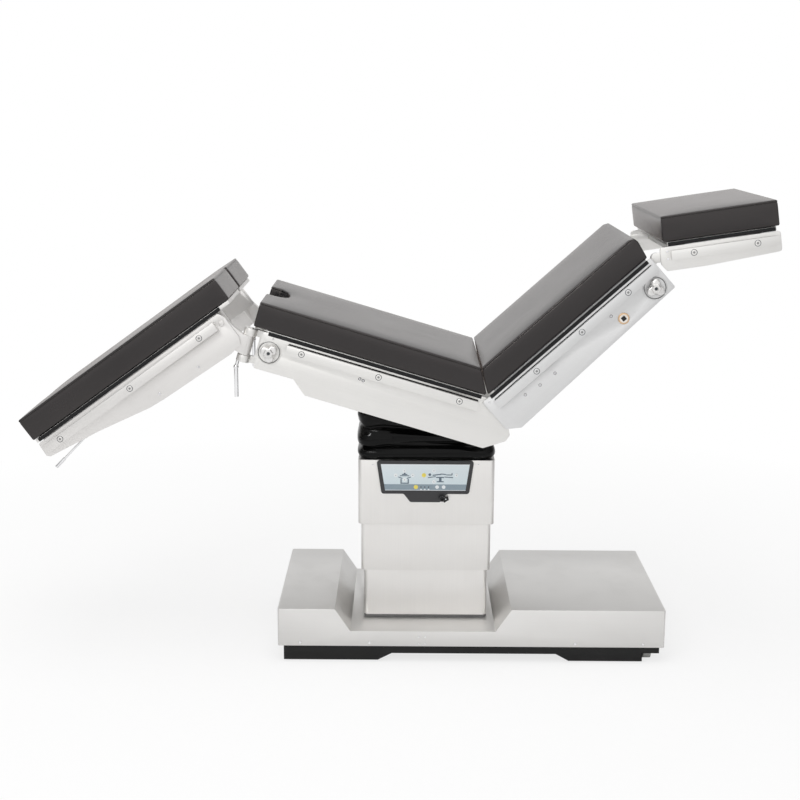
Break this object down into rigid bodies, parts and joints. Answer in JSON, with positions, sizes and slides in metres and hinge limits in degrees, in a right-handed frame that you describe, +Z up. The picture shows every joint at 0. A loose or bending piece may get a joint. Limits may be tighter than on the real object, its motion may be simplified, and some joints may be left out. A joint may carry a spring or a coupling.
{
  "type": "operating table",
  "caption": "Electric operating table in beach-chair pose: saddle-shaped stainless base, telescopic column, split black cushions, twin leg sections and side rails",
  "frame": {"origin": "on the floor under the lift column's axis", "axes": "+X towards the head end, +Y towards the rear side, +Z up"},
  "size_m": [2.0395, 0.5706, 1.2851],
  "materials": {
    "brushed_stainless": "satin brushed stainless steel",
    "ground_steel": "ground steel",
    "zinc_steel": "zinc plated",
    "bright_chrome": "polished chrome",
    "bronze": "turned bronze",
    "cast_base": "black paint on iron",
    "painted_steel": "grey enamel",
    "upholstery": "black artificial leather over foam",
    "bellows_rubber": "black glossy rubber",
    "foot_rubber": "matt black rubber",
    "wheel_tread": "grey hard tread",
    "panel_plastic": "black plastic",
    "membrane": "printed film",
    "key_plastic": "domed film",
    "socket_plastic": "black plastic",
    "battery_case": "grey plastic"
  },
  "bodies": {
    "base": {"base_cover": "brushed_stainless", "base_frame": "cast_base", "rubber_feet": "foot_rubber", "power_unit": "painted_steel", "battery_pack": "battery_case", "column_cover_lower": "brushed_stainless", "column_gasket": "bellows_rubber", "guide_tube_outer": "ground_steel", "lift_barrel": "ground_steel"},
    "caster_gear": {"caster_sleeves": "zinc_steel"},
    "mid_stage": {"column_cover_middle": "brushed_stainless", "guide_tube_middle": "ground_steel", "middle_carrier": "ground_steel"},
    "column": {"column_cover_upper": "brushed_stainless", "guide_tube_inner": "ground_steel", "lift_rod": "bright_chrome", "column_head": "ground_steel", "panel_frame": "panel_plastic", "panel_membrane": "membrane", "panel_keys": "key_plastic", "handset_socket": "socket_plastic", "bellows_lower": "bellows_rubber"},
    "gimbal": {"tilt_cross": "ground_steel"},
    "seat": {"seat_cushion": "upholstery", "seat_side_plates": "brushed_stainless", "seat_rails": "brushed_stainless", "seat_frame": "brushed_stainless", "bellows_upper": "bellows_rubber"},
    "back": {"back_cushion": "upholstery", "back_side_plates": "brushed_stainless", "back_rails": "brushed_stainless", "back_frame": "brushed_stainless"},
    "crank": {"crank_socket": "bronze"},
    "head": {"head_cushion": "upholstery", "head_frame": "brushed_stainless", "head_rails": "brushed_stainless"},
    "leg_arm_front": {"leg_swivel_front": "brushed_stainless"},
    "leg_front": {"leg_frame_front": "brushed_stainless", "leg_cushion_front": "upholstery", "leg_rail_front": "brushed_stainless"},
    "lever_front": {"release_lever_front": "bright_chrome"},
    "clamp_front": {"clamp_handle_front": "bright_chrome"},
    "knob_seat_front": {"seat_knob_front": "bright_chrome"},
    "knob_back_front": {"back_knob_front": "bright_chrome"},
    "leg_arm_rear": {"leg_swivel_rear": "brushed_stainless"},
    "leg_rear": {"leg_frame_rear": "brushed_stainless", "leg_cushion_rear": "upholstery", "leg_rail_rear": "brushed_stainless"},
    "lever_rear": {"release_lever_rear": "bright_chrome"},
    "clamp_rear": {"clamp_handle_rear": "bright_chrome"},
    "knob_seat_rear": {"seat_knob_rear": "bright_chrome"},
    "knob_back_rear": {"back_knob_rear": "bright_chrome"},
    "fork_front_left": {"caster_fork_front_left": "zinc_steel"},
    "wheel_front_left": {"caster_wheel_front_left": "wheel_tread"},
    "fork_rear_left": {"caster_fork_rear_left": "zinc_steel"},
    "wheel_rear_left": {"caster_wheel_rear_left": "wheel_tread"},
    "fork_front_right": {"caster_fork_front_right": "zinc_steel"},
    "wheel_front_right": {"caster_wheel_front_right": "wheel_tread"},
    "fork_rear_right": {"caster_fork_rear_right": "zinc_steel"},
    "wheel_rear_right": {"caster_wheel_rear_right": "wheel_tread"}
  },
  "joints": [
    {"name": "lift", "type": "slide", "parent": "base", "child": "column", "axis": [0, 0, 1], "range_m": [-0.17, 0.11]},
    {"name": "mid_stage_travel", "type": "slide", "parent": "base", "child": "mid_stage", "axis": [0, 0, 1], "range_m": [-0.085, 0.055]},
    {"name": "lateral_tilt", "type": "hinge", "parent": "column", "child": "gimbal", "pos_m": [0, 0, 0.6], "axis": [1, 0, 0], "range_deg": [-15, 15], "deforming": ["bellows_lower"]},
    {"name": "long_tilt", "type": "hinge", "parent": "gimbal", "child": "seat", "pos_m": [0, 0, 0.6], "axis": [0, 1, 0], "range_deg": [-41.5, 8.5], "deforming": ["bellows_upper"]},
    {"name": "back_tilt", "type": "hinge", "parent": "seat", "child": "back", "pos_m": [0.16483, 0, 0.74099], "axis": [0, 1, 0], "range_deg": [0, 78.5]},
    {"name": "head_tilt", "type": "hinge", "parent": "back", "child": "head", "pos_m": [0.60009, 0, 1.12887], "axis": [0, -1, 0], "range_deg": [-56.6, 45]},
    {"name": "crank_turn", "type": "hinge", "parent": "back", "child": "crank", "pos_m": [0.51881, -0.262, 0.96956], "axis": [0, 1, 0], "continuous": true},
    {"name": "leg_spread_front", "type": "hinge", "parent": "seat", "child": "leg_arm_front", "pos_m": [-0.48663, -0.226, 0.89016], "axis": [0.284, 0, 0.9588], "range_deg": [0, 80]},
    {"name": "leg_pitch_front", "type": "hinge", "parent": "leg_arm_front", "child": "leg_front", "pos_m": [-0.55158, -0.233, 0.94903], "axis": [0, -1, 0], "range_deg": [-52.5, 37.5]},
    {"name": "release_front", "type": "hinge", "parent": "leg_front", "child": "lever_front", "pos_m": [-0.92331, -0.238, 0.64064], "axis": [0, 1, 0], "range_deg": [0, 12]},
    {"name": "clamp_turn_front", "type": "hinge", "parent": "seat", "child": "clamp_front", "pos_m": [-0.51177, -0.226, 0.84754], "axis": [0.284, 0, 0.9588], "range_deg": [-30, 90]},
    {"name": "seat_knob_turn_front", "type": "hinge", "parent": "seat", "child": "knob_seat_front", "pos_m": [-0.42527, -0.27, 0.87198], "axis": [0, 1, 0], "continuous": true},
    {"name": "back_knob_turn_front", "type": "hinge", "parent": "back", "child": "knob_back_front", "pos_m": [0.59818, -0.276, 1.05178], "axis": [0, 1, 0], "continuous": true},
    {"name": "leg_spread_rear", "type": "hinge", "parent": "seat", "child": "leg_arm_rear", "pos_m": [-0.48663, 0.226, 0.89016], "axis": [-0.284, 0, -0.9588], "range_deg": [0, 80]},
    {"name": "leg_pitch_rear", "type": "hinge", "parent": "leg_arm_rear", "child": "leg_rear", "pos_m": [-0.55158, 0.233, 0.94903], "axis": [0, -1, 0], "range_deg": [-52.5, 37.5]},
    {"name": "release_rear", "type": "hinge", "parent": "leg_rear", "child": "lever_rear", "pos_m": [-0.92331, 0.238, 0.64064], "axis": [0, 1, 0], "range_deg": [0, 12]},
    {"name": "clamp_turn_rear", "type": "hinge", "parent": "seat", "child": "clamp_rear", "pos_m": [-0.51177, 0.226, 0.84754], "axis": [-0.284, 0, -0.9588], "range_deg": [-30, 90]},
    {"name": "seat_knob_turn_rear", "type": "hinge", "parent": "seat", "child": "knob_seat_rear", "pos_m": [-0.42527, 0.27, 0.87198], "axis": [0, 1, 0], "continuous": true},
    {"name": "back_knob_turn_rear", "type": "hinge", "parent": "back", "child": "knob_back_rear", "pos_m": [0.59818, 0.276, 1.05178], "axis": [0, 1, 0], "continuous": true},
    {"name": "caster_lift", "type": "slide", "parent": "base", "child": "caster_gear", "axis": [0, 0, 1], "range_m": [-0.008, 0]},
    {"name": "caster_swivel_front_left", "type": "hinge", "parent": "caster_gear", "child": "fork_front_left", "pos_m": [-0.345, -0.218, 0.09], "axis": [0, 0, 1], "continuous": true},
    {"name": "wheel_spin_front_left", "type": "hinge", "parent": "fork_front_left", "child": "wheel_front_left", "pos_m": [-0.345, -0.228, 0.029], "axis": [1, 0, 0], "continuous": true},
    {"name": "caster_swivel_rear_left", "type": "hinge", "parent": "caster_gear", "child": "fork_rear_left", "pos_m": [-0.345, 0.218, 0.09], "axis": [0, 0, 1], "continuous": true},
    {"name": "wheel_spin_rear_left", "type": "hinge", "parent": "fork_rear_left", "child": "wheel_rear_left", "pos_m": [-0.345, 0.208, 0.029], "axis": [1, 0, 0], "continuous": true},
    {"name": "caster_swivel_front_right", "type": "hinge", "parent": "caster_gear", "child": "fork_front_right", "pos_m": [0.62, -0.218, 0.09], "axis": [0, 0, 1], "continuous": true},
    {"name": "wheel_spin_front_right", "type": "hinge", "parent": "fork_front_right", "child": "wheel_front_right", "pos_m": [0.62, -0.228, 0.029], "axis": [1, 0, 0], "continuous": true},
    {"name": "caster_swivel_rear_right", "type": "hinge", "parent": "caster_gear", "child": "fork_rear_right", "pos_m": [0.62, 0.218, 0.09], "axis": [0, 0, 1], "continuous": true},
    {"name": "wheel_spin_rear_right", "type": "hinge", "parent": "fork_rear_right", "child": "wheel_rear_right", "pos_m": [0.62, 0.208, 0.029], "axis": [1, 0, 0], "continuous": true}
  ],
  "couplings": [
    {"joint": "mid_stage_travel", "follows": "lift", "ratio": 0.5}
  ]
}
